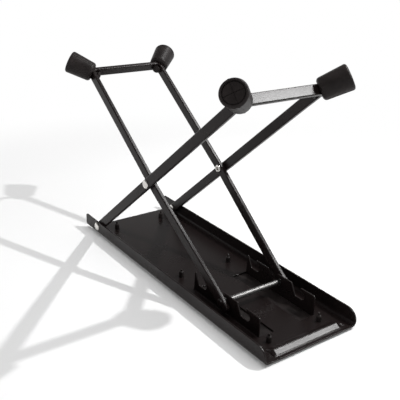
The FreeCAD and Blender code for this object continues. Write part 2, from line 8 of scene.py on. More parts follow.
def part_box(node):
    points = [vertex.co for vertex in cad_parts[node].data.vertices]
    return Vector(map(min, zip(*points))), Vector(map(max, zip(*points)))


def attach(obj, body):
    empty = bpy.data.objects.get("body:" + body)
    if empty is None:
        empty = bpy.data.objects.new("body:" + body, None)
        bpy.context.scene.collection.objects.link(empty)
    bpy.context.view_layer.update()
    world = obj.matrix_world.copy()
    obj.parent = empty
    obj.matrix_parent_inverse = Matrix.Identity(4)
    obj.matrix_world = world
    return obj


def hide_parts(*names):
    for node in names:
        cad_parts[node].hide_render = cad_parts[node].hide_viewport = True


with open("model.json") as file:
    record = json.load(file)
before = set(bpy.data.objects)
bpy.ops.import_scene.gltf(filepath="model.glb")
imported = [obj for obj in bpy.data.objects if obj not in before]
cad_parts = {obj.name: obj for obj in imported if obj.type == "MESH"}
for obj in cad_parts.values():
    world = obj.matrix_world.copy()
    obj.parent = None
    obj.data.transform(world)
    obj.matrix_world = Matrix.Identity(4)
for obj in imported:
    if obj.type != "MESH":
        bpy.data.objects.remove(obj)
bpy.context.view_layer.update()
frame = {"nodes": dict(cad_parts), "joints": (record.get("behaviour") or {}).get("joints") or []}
mm = 0.001
print("stage: frame loaded")

# Pivots of the linkage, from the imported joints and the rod's own box
jointPlace = {joint["name"]: Vector(joint["pos_m"]) for joint in frame["joints"]}
earPivot = jointPlace["rear_hinge"]
crossPivot = jointPlace["cross_hinge"]
rodLow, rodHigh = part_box("latch_rod")
rodPivot = (rodLow + rodHigh) / 2
rearRise = crossPivot - earPivot
frontRise = crossPivot - rodPivot
rearTurn = -math.atan2(rearRise.z, rearRise.x)
frontTurn = -math.atan2(frontRise.z, frontRise.x)
sides = {"left": 1, "right": -1}

# Directions, and the limits that welding and the selections share
quarterTurn = math.pi / 2
alongX = (0, quarterTurn, 0)
alongY = (quarterTurn, 0, 0)
outwards = Vector((1, 0, 0))
upwards = Vector((0, 0, 1))
weldGap = 0.005 * mm
near = 0.1 * mm
touching = 0.05 * mm
facing = 0.9
squareOn = 0.99


# Small tools used by all the pieces

def clearSelection():
    if bpy.context.object and bpy.context.object.mode != "OBJECT":
        bpy.ops.object.mode_set(mode="OBJECT")
    bpy.ops.object.select_all(action="DESELECT")


def pickOnly(piece):
    clearSelection()
    piece.select_set(True)
    bpy.context.view_layer.objects.active = piece


def named(name):
    # the primitive that was just added
    piece = bpy.context.object
    piece.name = name
    piece.data.name = name
    return piece


def applyPlace(piece):
    pickOnly(piece)
    bpy.ops.object.transform_apply(location=True, rotation=True, scale=True)


def addBlock(name, place, size):
    clearSelection()
    bpy.ops.mesh.primitive_cube_add(size=1, location=place)
    piece = named(name)
    piece.scale = size
    applyPlace(piece)
    return piece


def addCylinder(name, count, radius, depth, place, rotation=(0, 0, 0)):
    # count is the number of its sides
    clearSelection()
    bpy.ops.mesh.primitive_cylinder_add(vertices=count, radius=radius, depth=depth, location=place,
                                        rotation=rotation)
    piece = named(name)
    applyPlace(piece)
    return piece


def editPiece(piece):
    pickOnly(piece)
    bpy.ops.object.mode_set(mode="EDIT")
    bpy.ops.mesh.select_mode(type="FACE")
    bpy.ops.mesh.select_all(action="DESELECT")


def leaveEdit():
    bpy.ops.object.mode_set(mode="OBJECT")


def selectParts(piece, mode, wanted):
    bpy.ops.mesh.select_mode(type=mode)
    bpy.ops.mesh.select_all(action="DESELECT")
    mesh = bmesh.from_edit_mesh(piece.data)
    parts = {"FACE": mesh.faces, "EDGE": mesh.edges, "VERT": mesh.verts}
    for part in parts[mode]:
        if wanted(part):
            part.select_set(True)
    bmesh.update_edit_mesh(piece.data)


def selectFaces(piece, wanted):
    selectParts(piece, "FACE", wanted)


def selectEdges(piece, wanted):
    selectParts(piece, "EDGE", wanted)


def selectVerts(piece, wanted):
    selectParts(piece, "VERT", wanted)


def selectFacing(piece, direction):
    selectFaces(piece, lambda face: face.normal.dot(direction) > facing)


def extrudeBy(x=0, y=0, z=0):
    bpy.ops.mesh.extrude_region_move(TRANSFORM_OT_translate={"value": (x, y, z)})


def resizeBy(x=1, y=1, z=1):
    bpy.ops.transform.resize(value=(x, y, z))


def shiftBy(x=0, y=0, z=0):
    bpy.ops.transform.translate(value=(x, y, z))


def raiseDome(height, endAngle, steps):
    # rings of a round cap, up from the selected face
    angles = [endAngle * step / steps for step in range(steps + 1)]
    for last, angle in zip(angles, angles[1:]):
        extrudeBy(z=height * (math.sin(angle) - math.sin(last)) / math.sin(endAngle))
        shrink = math.cos(angle) / math.cos(last)
        resizeBy(shrink, shrink)


def weldAll():
    bpy.ops.mesh.select_all(action="SELECT")
    bpy.ops.mesh.remove_doubles(threshold=weldGap)
    bpy.ops.mesh.normals_make_consistent(inside=False)


def sealMesh(piece):
    editPiece(piece)
    weldAll()
    leaveEdit()


def applyModifier(piece, modifier):
    pickOnly(piece)
    bpy.ops.object.modifier_apply(modifier=modifier.name)


def breakEdges(piece, width, segments=3, angle=40):
    bevel = piece.modifiers.new("brokenEdges", "BEVEL")
    bevel.width = width
    bevel.segments = segments
    bevel.limit_method = "ANGLE"
    bevel.angle_limit = math.radians(angle)
    bevel.use_clamp_overlap = False
    applyModifier(piece, bevel)


def combine(piece, other, operation):
    # joins or cuts by another piece, which is used up
    boolean = piece.modifiers.new("combine", "BOOLEAN")
    boolean.operation = operation
    boolean.solver = "EXACT"
    boolean.object = other
    applyModifier(piece, boolean)
    bpy.data.objects.remove(other)


def smoothOver(piece, angle=35):
    pickOnly(piece)
    bpy.ops.object.shade_smooth_by_angle(angle=math.radians(angle))
    weighted = piece.modifiers.new("flatFaces", "WEIGHTED_NORMAL")
    weighted.keep_sharp = True
    applyModifier(piece, weighted)


def turnAbout(axis, angle):
    # four by four, to go with the translations
    return Matrix.Rotation(angle, 4, axis)


def copyPiece(piece, name, place):
    # own mesh for each copy, with its place in the mesh
    copy = bpy.data.objects.new(name, piece.data.copy())
    copy.data.name = name
    bpy.context.scene.collection.objects.link(copy)
    copy.matrix_world = place
    applyPlace(copy)
    return copy


def hand(piece, body, finish, slot, *nodes):
    # finish, body and the CAD nodes that the piece stands for
    piece.data.materials.clear()
    piece.data.materials.append(finish)
    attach(piece, body)
    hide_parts(*nodes)


# Finishes: colour, roughness and bump all vary with noise

noiseLow = 0.3
noiseHigh = 0.7


def newFinish(name):
    finish = bpy.data.materials.new(name)
    finish.use_nodes = True
    shader = finish.node_tree.nodes["Principled BSDF"]
    coordinates = finish.node_tree.nodes.new("ShaderNodeTexCoord")
    return finish, shader, coordinates.outputs["Object"]


def addNoise(finish, place, scale, detail, stretch=(1, 1, 1)):
    tree = finish.node_tree
    mapping = tree.nodes.new("ShaderNodeMapping")
    mapping.inputs["Scale"].default_value = stretch
    tree.links.new(place, mapping.inputs["Vector"])
    noise = tree.nodes.new("ShaderNodeTexNoise")
    noise.inputs["Scale"].default_value = scale
    noise.inputs["Detail"].default_value = detail
    tree.links.new(mapping.outputs["Vector"], noise.inputs["Vector"])
    return noise.outputs["Fac"]


def addRamp(finish, value, lowColour, highColour, high=noiseHigh):
    tree = finish.node_tree
    ramp = tree.nodes.new("ShaderNodeValToRGB")
    for stop, place, colour in zip(ramp.color_ramp.elements, (noiseLow, high), (lowColour, highColour)):
        stop.position = place
        stop.color = (*colour, 1)
    tree.links.new(value, ramp.inputs["Fac"])
    return ramp.outputs["Color"]


def addSpread(tree, value, start, end, low, high):
    # takes start to end over into low to high
    spread = tree.nodes.new("ShaderNodeMapRange")
    limits = {"From Min": start, "From Max": end, "To Min": low, "To Max": high}
    for name, limit in limits.items():
        spread.inputs[name].default_value = limit
    tree.links.new(value, spread.inputs["Value"])
    return spread


def addBump(finish, height, strength, distance, under=None):
    tree = finish.node_tree
    bump = tree.nodes.new("ShaderNodeBump")
    bump.inputs["Strength"].default_value = strength
    bump.inputs["Distance"].default_value = distance
    tree.links.new(height, bump.inputs["Height"])
    if under:
        tree.links.new(under, bump.inputs["Normal"])
    return bump.outputs["Normal"]


def coat(finish, shader, look, tint, roughNoise, normal):
    # joins colour, uneven roughness and bump to the shader
    tree = finish.node_tree
    rough = addSpread(tree, roughNoise, noiseLow, noiseHigh, look["roughLow"], look["roughHigh"])
    for name, value in (("Base Color", tint), ("Roughness", rough.outputs["Result"]), ("Normal", normal)):
        tree.links.new(value, shader.inputs[name])
    return finish


powder = {"dark": (0.006, 0.0042, 0.0041), "light": (0.015, 0.0107, 0.0104), "rampHigh": 0.75,
          "grain": 1100, "grainDetail": 4, "grainBump": 0.28, "grainDepth": 0.06 * mm,
          "pebble": 380, "pebbleDetail": 2, "pebbleBump": 0.06, "pebbleDepth": 0.12 * mm,
          "cloud": 26, "cloudDetail": 3, "roughLow": 0.26, "roughHigh": 0.31, "shine": 0.14}


def makePowderCoat():
    # satin black powder coat: fine grain over a soft pebble
    finish, shader, place = newFinish("powderCoat")
    grain = addNoise(finish, place, powder["grain"], powder["grainDetail"])
    pebble = addNoise(finish, place, powder["pebble"], powder["pebbleDetail"])
    cloud = addNoise(finish, place, powder["cloud"], powder["cloudDetail"])
    tint = addRamp(finish, grain, powder["dark"], powder["light"], powder["rampHigh"])
    coarse = addBump(finish, pebble, powder["pebbleBump"], powder["pebbleDepth"])
    normal = addBump(finish, grain, powder["grainBump"], powder["grainDepth"], coarse)
    shader.inputs["Specular IOR Level"].default_value = powder["shine"]
    return coat(finish, shader, powder, tint, cloud, normal)


rubber = {"dark": (0.008, 0.0064, 0.0062), "light": (0.022, 0.0178, 0.0172), "mottle": 70, "mottleDetail": 4,
          "grain": 900, "grainDetail": 3, "grainBump": 0.25, "grainDepth": 0.06 * mm,
          "roughLow": 0.4, "roughHigh": 0.48, "shine": 0.12}


def makeMouldedRubber():
    finish, shader, place = newFinish("mouldedRubber")
    mottle = addNoise(finish, place, rubber["mottle"], rubber["mottleDetail"])
    grain = addNoise(finish, place, rubber["grain"], rubber["grainDetail"])
    tint = addRamp(finish, mottle, rubber["dark"], rubber["light"])
    normal = addBump(finish, grain, rubber["grainBump"], rubber["grainDepth"])
    shader.inputs["Specular IOR Level"].default_value = rubber["shine"]
    return coat(finish, shader, rubber, tint, mottle, normal)


rodSteel = {"dark": (0.1, 0.098, 0.096), "light": (0.14, 0.138, 0.136), "draw": (1, 0.02, 1),
            "lines": 4200, "linesDetail": 2, "linesBump": 0.08, "linesDepth": 0.01 * mm,
            "stain": 90, "stainDetail": 2, "roughLow": 0.42, "roughHigh": 0.5}


def makeDrawnSteel():
    # bare drawn steel, with fine lines along the rod's length
    finish, shader, place = newFinish("drawnSteel")
    lines = addNoise(finish, place, rodSteel["lines"], rodSteel["linesDetail"], rodSteel["draw"])
    stain = addNoise(finish, place, rodSteel["stain"], rodSteel["stainDetail"])
    tint = addRamp(finish, lines, rodSteel["dark"], rodSteel["light"])
    normal = addBump(finish, lines, rodSteel["linesBump"], rodSteel["linesDepth"])
    shader.inputs["Metallic"].default_value = 1
    return coat(finish, shader, rodSteel, tint, stain, normal)


nickel = {"dark": (0.62, 0.605, 0.58), "light": (0.72, 0.7, 0.675), "haze": 260, "hazeDetail": 2,
          "hazeBump": 0.06, "hazeDepth": 0.03 * mm, "roughLow": 0.2, "roughHigh": 0.28}


def makeNickel():
    finish, shader, place = newFinish("brightNickel")
    haze = addNoise(finish, place, nickel["haze"], nickel["hazeDetail"])
    tint = addRamp(finish, haze, nickel["dark"], nickel["light"])
    normal = addBump(finish, haze, nickel["hazeBump"], nickel["hazeDepth"])
    shader.inputs["Metallic"].default_value = 1
    return coat(finish, shader, nickel, tint, haze, normal)


powderCoat = makePowderCoat()
mouldedRubber = makeMouldedRubber()
drawnSteel = makeDrawnSteel()
brightNickel = makeNickel()
print("stage: finishes made")


# Foot plate: a merged copy of the pressed sheet, with its sheared edges broken

matThickness = 2 * mm
sheetThickness = 1.5 * mm
# upper side of the sheet, over the mat
treadTop = matThickness + sheetThickness
plate = {"flat": 0.5, "edge": 0.28 * mm, "edgeSegments": 2, "edgeAngle": 50,
         # the next four find the bead on the sheet
         "beadMiddle": 141.4 * mm, "beadHalf": 5.6 * mm, "beadReach": 45.5 * mm, "beadCorner": 33 * mm,
         "beadRise": 3.2 * mm, "ridgeRound": 0.55 * mm, "ridgeSegments": 3,
         "beadFoot": 1.4 * mm, "beadFootSegments": 4,
         # how the bead runs out at its ends
         "runLonger": 6.5 * mm, "runStart": 34.5 * mm, "runSteps": 5, "runLowest": 0.25}


def onBead(vert):
    return abs(vert.co.x - plate["beadMiddle"]) < plate["beadHalf"] and abs(vert.co.y) < plate["beadReach"]


def onRidge(vert):
    return onBead(vert) and vert.co.z > treadTop + plate["beadRise"] / 2


def lowerRing(piece, place, drop, cut):
    # lowers the bead and its hollow at a distance from the middle, after a cut there
    for side in sides.values():
        if cut:
            selectFaces(piece, lambda face: all(onBead(vert) for vert in face.verts))
            bpy.ops.mesh.bisect(plane_co=(0, side * place, 0), plane_no=(0, 1, 0))
        selectVerts(piece, lambda vert: onBead(vert) and vert.co.z > treadTop + near
                    and abs(side * vert.co.y - place) < near)
        shiftBy(z=-drop)


def smoothStep(part):
    # from 0 to 1, level at both ends
    return part * part * (3 - 2 * part)


def softenBead(piece):
    # the pressed bead runs out at its ends, above and in its hollow
    for side in sides.values():
        selectVerts(piece, lambda vert: onBead(vert) and side * vert.co.y > plate["beadCorner"])
        shiftBy(y=side * plate["runLonger"])
    runEnd = max(abs(vert.co.y) for vert in bmesh.from_edit_mesh(piece.data).verts if onRidge(vert))
    for step in range(plate["runSteps"] + 1):
        part = step / plate["runSteps"]
        place = plate["runStart"] + part * (runEnd - plate["runStart"])
        drop = (1 - plate["runLowest"]) * plate["beadRise"] * smoothStep(part)
        lowerRing(piece, place, drop, step < plate["runSteps"])
    # rounded ridge, softer still where the bead meets the sheet
    selectEdges(piece, lambda edge: all(onRidge(vert) for vert in edge.verts)
                and abs(edge.verts[0].co.y - edge.verts[1].co.y) > near)
    bpy.ops.mesh.bevel(offset=plate["ridgeRound"], segments=plate["ridgeSegments"])
    selectEdges(piece, lambda edge: all(onBead(vert) and abs(vert.co.z - treadTop) < near
                                        for vert in edge.verts))
    bpy.ops.mesh.bevel(offset=plate["beadFoot"], segments=plate["beadFootSegments"])


def makePlate():
    piece = bpy.data.objects.new("footPlate", frame["nodes"]["foot_plate"].data.copy())
    bpy.context.scene.collection.objects.link(piece)
    sealMesh(piece)
    editPiece(piece)
    bpy.ops.mesh.select_all(action="SELECT")
    bpy.ops.mesh.dissolve_limited(angle_limit=math.radians(plate["flat"]))
    softenBead(piece)
    leaveEdit()
    breakEdges(piece, plate["edge"], plate["edgeSegments"], plate["edgeAngle"])
    smoothOver(piece)
    hand(piece, "plate", powderCoat, "black_coat", "foot_plate")
    return piece


footPlate = makePlate()
print("stage: plate", len(footPlate.data.polygons))


# Tread mat with its grooves, and the pull-through plugs that hold it

mat = {"corner": 6 * mm, "cornerSegments": 10, "rim": 0.5 * mm, "rimSegments": 3, "groove": 2 * mm,
       "grooveDepth": 0.6 * mm, "grooveMargin": 10 * mm, "grooves": 31, "lip": 0.2 * mm, "lipSegments": 2,
       "lipAngle": 60,
       # plugs
       "plugInset": 5.5 * mm, "plugSpread": 28 * mm, "plugSides": 32, "neck": 1.86 * mm, "barb": 2.4 * mm,
       "barbStep": 0.05 * mm, "barbHeight": 4.6 * mm, "barbTaper": 0.94, "dome": 1.3 * mm, "domeSteps": 5,
       "tail": 1 * mm, "tailSteps": 5, "tip": 0.4 * mm, "tipSegments": 3, "turnStep": 35, "turnSide": 60,
       # length and lean of the tails, from the rear plugs to the front ones, as they were trimmed
       "tails": ((2.1 * mm, 0.1), (2.6 * mm, 0.75), (2.3 * mm, 0.3))}
matLow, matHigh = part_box("tread_mat")


def makeMat():
    length = matHigh.x - matLow.x
    width = matHigh.y - matLow.y
    middle = (matHigh.x + matLow.x) / 2
    piece = addBlock("treadMat", (middle, 0, matThickness / 2), (length, width, matThickness))
    editPiece(piece)
    selectEdges(piece, lambda edge: abs(edge.verts[0].co.z - edge.verts[1].co.z) > matThickness / 2)
    bpy.ops.mesh.bevel(offset=mat["corner"], segments=mat["cornerSegments"])
    selectEdges(piece, lambda edge: max(vert.co.z for vert in edge.verts) < near)
    bpy.ops.mesh.bevel(offset=mat["rim"], segments=mat["rimSegments"])
    leaveEdit()
    # one row of grooves cuts the tread
    span = length - 2 * mat["grooveMargin"]
    grooveSize = (mat["groove"], width - 2 * mat["grooveMargin"], 2 * mat["grooveDepth"])
    cutter = addBlock("grooveCutter", (middle - span / 2, 0, 0), grooveSize)
    row = cutter.modifiers.new("row", "ARRAY")
    row.count = mat["grooves"]
    row.use_relative_offset = False
    row.use_constant_offset = True
    row.constant_offset_displace = (span / (mat["grooves"] - 1), 0, 0)
    applyModifier(cutter, row)
    combine(piece, cutter, "DIFFERENCE")
    breakEdges(piece, mat["lip"], mat["lipSegments"], mat["lipAngle"])
    return piece


def makePlug(tailLength, lean):
    # neck in the plate's hole, barb above it, then the tail that it was pulled through by
    bottom = matThickness / 2
    piece = addCylinder("plug", mat["plugSides"], mat["neck"], bottom, (0, 0, (bottom + matThickness) / 2))
    editPiece(piece)
    selectFacing(piece, upwards)
    extrudeBy(z=sheetThickness)
    flare = mat["barb"] / mat["neck"]
    extrudeBy(z=mat["barbStep"])
    resizeBy(flare, flare)
    extrudeBy(z=mat["barbHeight"])
    resizeBy(mat["barbTaper"], mat["barbTaper"])
    # rounded shoulder, down to the width of the tail
    narrow = mat["tail"] / (mat["barbTaper"] * mat["barb"])
    raiseDome(mat["dome"], math.acos(narrow), mat["domeSteps"])
    rise = tailLength / mat["tailSteps"]
    for step in range(mat["tailSteps"]):
        extrudeBy(x=-lean * rise * step / 2, z=rise)
    bpy.ops.mesh.bevel(offset=mat["tip"], segments=mat["tipSegments"])
    leaveEdit()
    return piece


treadMat = makeMat()
plugStart = matLow.x + mat["plugInset"]
plugPitch = (matHigh.x - matLow.x - 2 * mat["plugInset"]) / (len(mat["tails"]) - 1)
plugCopies = []
for column, (tailLength, lean) in enumerate(mat["tails"]):
    plugPattern = makePlug(tailLength, lean)
    for side in sides.values():
        # each tail leans its own way
        turn = math.radians(mat["turnStep"] * column - mat["turnSide"] * side)
        place = Matrix.Translation((plugStart + column * plugPitch, side * mat["plugSpread"], 0))
        plugCopies.append(copyPiece(plugPattern, f"plug{column}", place @ turnAbout("Z", turn)))
    bpy.data.objects.remove(plugPattern)
for plugCopy in plugCopies:
    combine(treadMat, plugCopy, "UNION")
smoothOver(treadMat)
hand(treadMat, "plate", mouldedRubber, "rubber", "tread_mat")
print("stage: mat", len(treadMat.data.polygons))


# The two frames: flat strip bent to a U, drilled for its pivots and for the feet's stems

# the drill's length is drillReach times the half-width, or times the bend's radius
strip = {"width": 9.4 * mm, "thickness": 4 * mm, "bend": 2 * mm, "bendSteps": 14, "endRound": 3 * mm,
         "endSegments": 8, "edge": 0.9 * mm, "pivotFlat": 7 * mm, "cornerFlat": 25 * mm, "hole": 2.55 * mm,
         "holeSides": 40, "drillReach": 3}
outerBend = strip["bend"] + strip["thickness"]


def bendFrame(name, line, reach, half, turn, pivot):
    # line holds (distance along the leg, outer half-width) from the leg's free end to its bend
    bendStart = reach - outerBend
    middle = strip["thickness"] / 2
    leg = [Vector((along, outer - middle, 0)) for along, outer in line]
    leg.append(Vector((bendStart, half - middle, 0)))
    clearSelection()
    bpy.ops.mesh.primitive_plane_add(size=1, location=leg[0], rotation=alongX)
    piece = named(name)
    piece.scale = (strip["width"], strip["thickness"], 1)
    applyPlace(piece)
    editPiece(piece)
    bpy.ops.mesh.select_all(action="SELECT")
    for here, there in zip(leg, leg[1:]):
        extrudeBy(*(there - here))
    bendCentre = Vector((bendStart, half - outerBend, 0))
    bpy.ops.mesh.spin(steps=strip["bendSteps"], angle=quarterTurn, center=bendCentre, axis=upwards)
    extrudeBy(y=-2 * bendCentre.y)
    bendCentre.y = -bendCentre.y
    bpy.ops.mesh.spin(steps=strip["bendSteps"], angle=quarterTurn, center=bendCentre, axis=upwards)
    for here, there in zip(leg[::-1], leg[-2::-1]):
        step = there - here
        extrudeBy(step.x, -step.y, 0)
    weldAll()
    # rounded free ends
    freeEnd = leg[0].x
    selectEdges(piece, lambda edge: all(vert.co.x < freeEnd + near for vert in edge.verts)
                and abs(edge.verts[0].co.z - edge.verts[1].co.z) < near)
    bpy.ops.mesh.bevel(offset=strip["endRound"], segments=strip["endSegments"])
    leaveEdit()
    breakEdges(piece, strip["edge"])
    piece.rotation_euler = (0, turn, 0)
    piece.location = pivot
    applyPlace(piece)
    return piece


def drill(piece, place, depth, rotation):
    cutter = addCylinder("drill", strip["holeSides"], strip["hole"], depth, place, rotation)
    combine(piece, cutter, "DIFFERENCE")


def cornerPlace(turn, pivot, reach, half, side):
    # at the sharp outer corner of a frame, X outwards along the corner's bisector
    along = Matrix.Translation(pivot) @ turnAbout("Y", turn)
    return along @ Matrix.Translation((reach, side * half, 0)) @ turnAbout("Z", side * quarterTurn / 2)


rearStrip = {"reach": 284.5 * mm, "half": 43.25 * mm, "tail": 5.5 * mm}
frontStrip = {"reach": 274.1 * mm, "tail": 9.5 * mm, "lug": 12 * mm, "rodHead": 1.2 * mm}
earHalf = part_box("rear_frame")[1].y
crossReach = rearRise.length
rearCrossHalf = earHalf - (earHalf - rearStrip["half"]) * crossReach / rearStrip["reach"]
rearLine = [(-rearStrip["tail"], earHalf),
            (strip["pivotFlat"], earHalf),
            (crossReach - strip["pivotFlat"], rearCrossHalf),
            (crossReach + strip["pivotFlat"], rearCrossHalf),
            (rearStrip["reach"] - strip["cornerFlat"], rearStrip["half"])]
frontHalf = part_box("front_frame")[1].y
lugHalf = rodHigh.y - frontStrip["rodHead"]
frontLine = [(-frontStrip["tail"], lugHalf),
             (frontStrip["lug"], lugHalf),
             (frontRise.length - strip["pivotFlat"], frontHalf)]

rearFrame = bendFrame("rearFrame", rearLine, rearStrip["reach"], rearStrip["half"], rearTurn, earPivot)
frontFrame = bendFrame("frontFrame", frontLine, frontStrip["reach"], frontHalf, frontTurn, rodPivot)
rearCorner = (rearTurn, earPivot, rearStrip["reach"], rearStrip["half"])
frontCorner = (frontTurn, rodPivot, frontStrip["reach"], frontHalf)
for piece, pivots, corner in ((rearFrame, (earPivot, crossPivot), rearCorner),
                              (frontFrame, (rodPivot, crossPivot), frontCorner)):
    for pivot in pivots:
        drill(piece, pivot, strip["drillReach"] * earHalf, alongY)
    for side in sides.values():
        place = cornerPlace(*corner, side)
        alongStem = (place @ turnAbout("Y", quarterTurn)).to_euler()
        drill(piece, place @ Vector((-outerBend, 0, 0)), strip["drillReach"] * outerBend, alongStem)
    sealMesh(piece)
    smoothOver(piece)
hand(rearFrame, "rear_frame", powderCoat, "black_coat", "rear_frame")
hand(frontFrame, "front_frame", powderCoat, "black_coat", "front_frame")
print("stage: frames", len(rearFrame.data.polygons), len(frontFrame.data.polygons))


# Rubber feet: tapered, parted along the mould line, saddled on the bent strip

foot = {"length": 26.1 * mm, "seat": 1.7 * mm, "outer": 11.2 * mm, "neck": 9.5 * mm, "sidesRound": 96,
        "rim": 2.1 * mm, "rimSegments": 8, "neckRound": 2.8 * mm, "neckSegments": 6, "saddleSides": 72,
        "flash": 0.2 * mm, "flashHalf": 0.4 * mm, "wallTilt": 0.2,
        # groove and pad on the end; the last two find the pad's seams and flat
        "ring": 0.3 * mm, "lip": 0.25 * mm, "lipSegments": 3, "groove": 0.7 * mm, "grooveDepth": 1.6 * mm,
        "padRise": 0.8 * mm, "padEdge": 0.25 * mm, "padEdgeSegments": 2, "crown": 0.7 * mm,
        "seam": 0.27 * mm, "seamDepth": 0.5 * mm, "onSeam": 0.02 * mm, "flatReach": 5.7 * mm,
        # stem, with a head that narrows in steps of (share of the head's edge, size)
        "stem": 2.5 * mm, "stemSides": 40, "stemOverlap": 4 * mm, "head": 4.5 * mm, "headEdge": 2.2 * mm,
        "headSteps": ((0.4, 0.9), (0.6, 0.6))}


def formPad(piece, end):
    # groove around a low pad, which rises to a point along the mould's parting lines
    lipRadius = foot["outer"] - foot["rim"] - foot["ring"]
    padRadius = lipRadius - foot["groove"]
    padPlace = end - foot["grooveDepth"] + foot["padRise"]
    selectFaces(piece, lambda face: face.normal.x > squareOn and len(face.verts) == foot["sidesRound"])
    bpy.ops.mesh.inset(thickness=foot["ring"])
    extrudeBy(x=-foot["grooveDepth"])
    bpy.ops.mesh.inset(thickness=foot["groove"])
    extrudeBy(x=foot["padRise"])
    bpy.ops.mesh.bevel(offset=foot["padEdge"], segments=foot["padEdgeSegments"])
    for parting in ((0, 1, 0), (0, 0, 1)):
        selectFaces(piece, lambda face: face.normal.x > squareOn
                    and abs(face.calc_center_median().x - padPlace) < touching
                    and face.calc_center_median().yz.length < foot["flatReach"])
        bpy.ops.mesh.bisect(plane_co=(0, 0, 0), plane_no=parting)
    selectVerts(piece, lambda vert: vert.co.yz.length < touching and abs(vert.co.x - padPlace) < touching)
    shiftBy(x=foot["crown"])
    selectEdges(piece, lambda edge: all(vert.co.x > padPlace - touching and vert.co.yz.length < padRadius
                                        and min(abs(vert.co.y), abs(vert.co.z)) < foot["onSeam"]
                                        for vert in edge.verts))
    bpy.ops.mesh.bevel(offset=foot["seam"], segments=1)
    extrudeBy(x=-foot["seamDepth"])
    selectEdges(piece, lambda edge: all(vert.co.x > end - touching and vert.co.yz.length < lipRadius + near
                                        for vert in edge.verts))
    bpy.ops.mesh.bevel(offset=foot["lip"], segments=foot["lipSegments"])


def makeFoot():
    start = outerBend * (1 - math.sqrt(2)) - foot["seat"]
    end = start + foot["length"]
    middle = ((start + end) / 2, 0, 0)
    piece = addCylinder("foot", foot["sidesRound"], foot["neck"], foot["length"], middle, alongX)
    editPiece(piece)
    selectFacing(piece, outwards)
    resizeBy(1, foot["outer"] / foot["neck"], foot["outer"] / foot["neck"])
    selectEdges(piece, lambda edge: all(vert.co.x < start + near for vert in edge.verts))
    bpy.ops.mesh.bevel(offset=foot["neckRound"], segments=foot["neckSegments"])
    selectEdges(piece, lambda edge: all(vert.co.x > end - near for vert in edge.verts))
    bpy.ops.mesh.bevel(offset=foot["rim"], segments=foot["rimSegments"])
    # thin flash of the mould along both sides
    selectFaces(piece, lambda face: abs(face.normal.x) < foot["wallTilt"]
                and abs(face.calc_center_median().y) < foot["flashHalf"])
    bpy.ops.mesh.extrude_region_shrink_fatten(TRANSFORM_OT_shrink_fatten={"value": foot["flash"]})
    formPad(piece, end)
    leaveEdit()
    # saddle that sits on the outside of the bend
    bendPlace = (-outerBend * math.sqrt(2), 0, 0)
    combine(piece, addCylinder("saddleCutter", foot["saddleSides"], outerBend, strip["width"], bendPlace),
            "DIFFERENCE")
    combine(piece, makeStem(start), "UNION")
    smoothOver(piece)
    return piece


def makeStem(start):
    # pulled through the strip's hole, with a blunt head in the inner corner
    innerCorner = -strip["thickness"] * math.sqrt(2)
    neckEnd = innerCorner - foot["stem"]
    headEnd = innerCorner - foot["head"]
    length = start + foot["stemOverlap"] - neckEnd
    piece = addCylinder("stem", foot["stemSides"], foot["stem"], length, (neckEnd + length / 2, 0, 0), alongX)
    editPiece(piece)
    selectFacing(piece, -outwards)
    flare = foot["head"] / foot["stem"]
    extrudeBy(x=headEnd - neckEnd)
    resizeBy(1, flare, flare)
    for share, size in foot["headSteps"]:
        extrudeBy(x=-share * foot["headEdge"])
        resizeBy(1, size, size)
    leaveEdit()
    return piece


footPattern = makeFoot()
print("stage: foot", len(footPattern.data.polygons))
for frameName, corner in (("rear", rearCorner), ("front", frontCorner)):
    for word, side in sides.items():
        footCopy = copyPiece(footPattern, f"{frameName}Foot{word.title()}", cornerPlace(*corner, side))
        hand(footCopy, f"{frameName}_frame", mouldedRubber, "rubber", f"{frameName}_foot_{word}")
bpy.data.objects.remove(footPattern)


# Rivets: domed head outside, shank through the layers, rolled hollow tail inside

# tailWall and boreWall are the straight shares of the tail's height and the bore's depth
rivet = {"sides": 56, "head": 4.3 * mm, "rise": 2 * mm, "rim": 0.45 * mm, "domeAngle": 78, "rings": 6,
         "shank": 2.5 * mm, "tail": 3.8 * mm, "tailHeight": 1.4 * mm, "tailWall": 0.65, "tailEnd": 0.84,
         "bore": 1.9 * mm, "boreDepth": 1.8 * mm, "boreWall": 0.2, "boreEnd": 0.8, "play": 0.18 * mm,
         "smooth": 40}


def makeRivet(name, grip):
    # along Z, with the head bearing at zero
    piece = addCylinder(name, rivet["sides"], rivet["head"], rivet["rim"], (0, 0, rivet["rim"] / 2))
    editPiece(piece)
    selectFacing(piece, upwards)
    raiseDome(rivet["rise"] - rivet["rim"], math.radians(rivet["domeAngle"]), rivet["rings"])
    selectFacing(piece, -upwards)
    bpy.ops.mesh.inset(thickness=rivet["head"] - rivet["shank"])
    extrudeBy(z=-grip)
    extrudeBy()
    flare = rivet["tail"] / rivet["shank"]
    resizeBy(flare, flare)
    extrudeBy(z=-rivet["tailWall"] * rivet["tailHeight"])
    extrudeBy(z=-(1 - rivet["tailWall"]) * rivet["tailHeight"])
    resizeBy(rivet["tailEnd"], rivet["tailEnd"])
    # hollow end, rolled outwards when it was set
    bpy.ops.mesh.inset(thickness=rivet["tailEnd"] * rivet["tail"] - rivet["bore"])
    extrudeBy(z=rivet["boreWall"] * rivet["boreDepth"])
    extrudeBy(z=(1 - rivet["boreWall"]) * rivet["boreDepth"])
    resizeBy(rivet["boreEnd"], rivet["boreEnd"])
    leaveEdit()
    smoothOver(piece, rivet["smooth"])
    return piece


